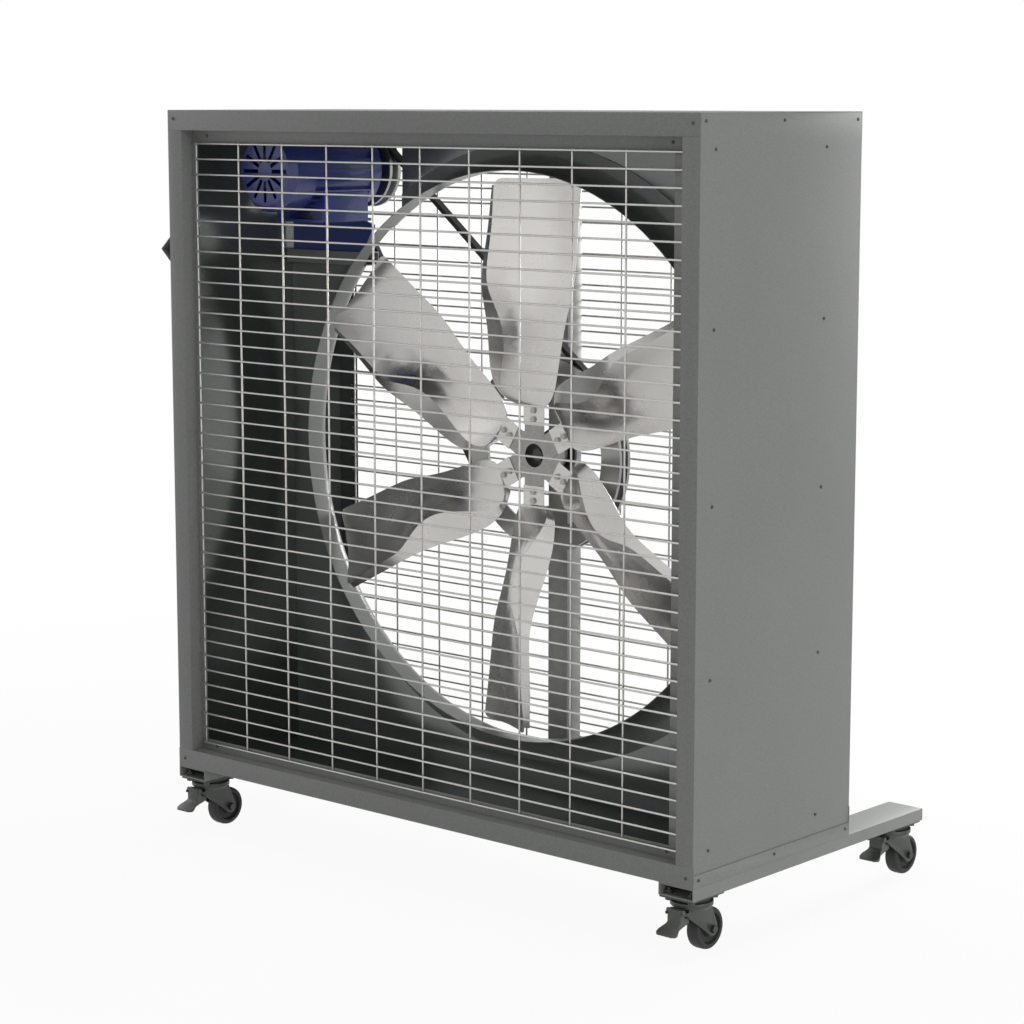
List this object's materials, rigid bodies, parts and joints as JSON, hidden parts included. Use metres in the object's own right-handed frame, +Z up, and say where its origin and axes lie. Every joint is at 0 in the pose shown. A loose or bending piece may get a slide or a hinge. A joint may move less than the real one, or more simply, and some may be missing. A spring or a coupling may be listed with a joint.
{
  "type": "portable industrial fan",
  "caption": "Square belt-drive industrial fan on castered rails: sheet housing, wire grilles, bell mouth, pressed blades on a spider hub, and a motor in the upper corner.",
  "frame": {"origin": "on the floor under the middle of the whole fan", "axes": "+Z up, -Y out of the front grille, +X to the right of a viewer who faces the front"},
  "size_m": [1.41, 0.809, 1.518],
  "materials": {
    "sheet_paint": "satin grey powder coat on folded sheet",
    "venturi_paint": "semi-gloss grey coat on the bulkhead",
    "wire": "zinc-plated drawn wire",
    "blade_sheet": "rolled galvanised sheet",
    "hub_metal": "turned and cast light metal",
    "bright_steel": "zinc-plated steel",
    "belt_rubber": "wrapped black rubber",
    "motor_paint": "blue enamel on cast metal",
    "caster_steel": "dark pressed steel",
    "wheel_plastic": "moulded black rubber",
    "pedal_plastic": "ribbed dark plastic"
  },
  "bodies": {
    "housing": {"bottom_panel": "sheet_paint", "top_panel": "sheet_paint", "left_side_panel": "sheet_paint", "right_side_panel": "sheet_paint", "front_grille": "wire", "rear_grille": "wire", "venturi_panel": "venturi_paint", "bell_mouth": "venturi_paint", "support_post": "venturi_paint", "fan_axle": "bright_steel", "v_belt": "belt_rubber", "motor_housing": "motor_paint", "motor_fan_cowl": "motor_paint", "motor_end_shield": "motor_paint", "motor_terminal_box": "motor_paint", "motor_beam": "sheet_paint", "motor_base": "motor_paint", "left_rail": "sheet_paint", "right_rail": "sheet_paint", "cable_cover": "sheet_paint", "caster_plates": "caster_steel", "caster_bolts": "bright_steel", "housing_screws": "bright_steel"},
    "propeller": {"hub_spider": "blade_sheet", "hub_barrel": "hub_metal", "hub_bearings": "bright_steel", "driven_pulley": "hub_metal", "blade_1": "blade_sheet", "blade_2": "blade_sheet", "blade_3": "blade_sheet", "blade_4": "blade_sheet", "blade_5": "blade_sheet", "blade_6": "blade_sheet", "blade_bolts": "bright_steel"},
    "motor_rotor": {"motor_shaft": "bright_steel", "motor_pulley": "hub_metal"},
    "caster_front_left": {"caster_fork_front_left": "caster_steel", "caster_axle_front_left": "caster_steel"},
    "wheel_front_left": {"caster_wheel_front_left": "wheel_plastic"},
    "pedal_front_left": {"brake_pedal_front_left": "pedal_plastic"},
    "caster_front_right": {"caster_fork_front_right": "caster_steel", "caster_axle_front_right": "caster_steel"},
    "wheel_front_right": {"caster_wheel_front_right": "wheel_plastic"},
    "pedal_front_right": {"brake_pedal_front_right": "pedal_plastic"},
    "caster_rear_left": {"caster_fork_rear_left": "caster_steel", "caster_axle_rear_left": "caster_steel"},
    "wheel_rear_left": {"caster_wheel_rear_left": "wheel_plastic"},
    "pedal_rear_left": {"brake_pedal_rear_left": "pedal_plastic"},
    "caster_rear_right": {"caster_fork_rear_right": "caster_steel", "caster_axle_rear_right": "caster_steel"},
    "wheel_rear_right": {"caster_wheel_rear_right": "wheel_plastic"},
    "pedal_rear_right": {"brake_pedal_rear_right": "pedal_plastic"}
  },
  "joints": [
    {"name": "fan_spin", "type": "hinge", "parent": "housing", "child": "propeller", "pos_m": [0.014, 0, 0.828], "axis": [0, 1, 0], "continuous": true},
    {"name": "motor_spin", "type": "hinge", "parent": "housing", "child": "motor_rotor", "pos_m": [-0.493, 0, 1.394], "axis": [0, 1, 0], "continuous": true},
    {"name": "swivel_front_left", "type": "hinge", "parent": "housing", "child": "caster_front_left", "pos_m": [-0.634, -0.324, 0.078], "axis": [0, 0, 1], "continuous": true},
    {"name": "roll_front_left", "type": "hinge", "parent": "caster_front_left", "child": "wheel_front_left", "pos_m": [-0.634, -0.284, 0.04], "axis": [1, 0, 0], "continuous": true},
    {"name": "brake_front_left", "type": "hinge", "parent": "caster_front_left", "child": "pedal_front_left", "pos_m": [-0.634, -0.371, 0.09], "axis": [1, 0, 0], "range_deg": [0, 12]},
    {"name": "swivel_front_right", "type": "hinge", "parent": "housing", "child": "caster_front_right", "pos_m": [0.662, -0.324, 0.078], "axis": [0, 0, 1], "continuous": true},
    {"name": "roll_front_right", "type": "hinge", "parent": "caster_front_right", "child": "wheel_front_right", "pos_m": [0.662, -0.284, 0.04], "axis": [1, 0, 0], "continuous": true},
    {"name": "brake_front_right", "type": "hinge", "parent": "caster_front_right", "child": "pedal_front_right", "pos_m": [0.662, -0.371, 0.09], "axis": [1, 0, 0], "range_deg": [0, 12]},
    {"name": "swivel_rear_left", "type": "hinge", "parent": "housing", "child": "caster_rear_left", "pos_m": [-0.634, 0.324, 0.078], "axis": [0, 0, 1], "continuous": true},
    {"name": "roll_rear_left", "type": "hinge", "parent": "caster_rear_left", "child": "wheel_rear_left", "pos_m": [-0.634, 0.364, 0.04], "axis": [1, 0, 0], "continuous": true},
    {"name": "brake_rear_left", "type": "hinge", "parent": "caster_rear_left", "child": "pedal_rear_left", "pos_m": [-0.634, 0.277, 0.09], "axis": [1, 0, 0], "range_deg": [0, 12]},
    {"name": "swivel_rear_right", "type": "hinge", "parent": "housing", "child": "caster_rear_right", "pos_m": [0.662, 0.324, 0.078], "axis": [0, 0, 1], "continuous": true},
    {"name": "roll_rear_right", "type": "hinge", "parent": "caster_rear_right", "child": "wheel_rear_right", "pos_m": [0.662, 0.364, 0.04], "axis": [1, 0, 0], "continuous": true},
    {"name": "brake_rear_right", "type": "hinge", "parent": "caster_rear_right", "child": "pedal_rear_right", "pos_m": [0.662, 0.277, 0.09], "axis": [1, 0, 0], "range_deg": [0, 12]}
  ],
  "couplings": [
    {"joint": "motor_spin", "follows": "fan_spin", "ratio": 2.6327}
  ]
}
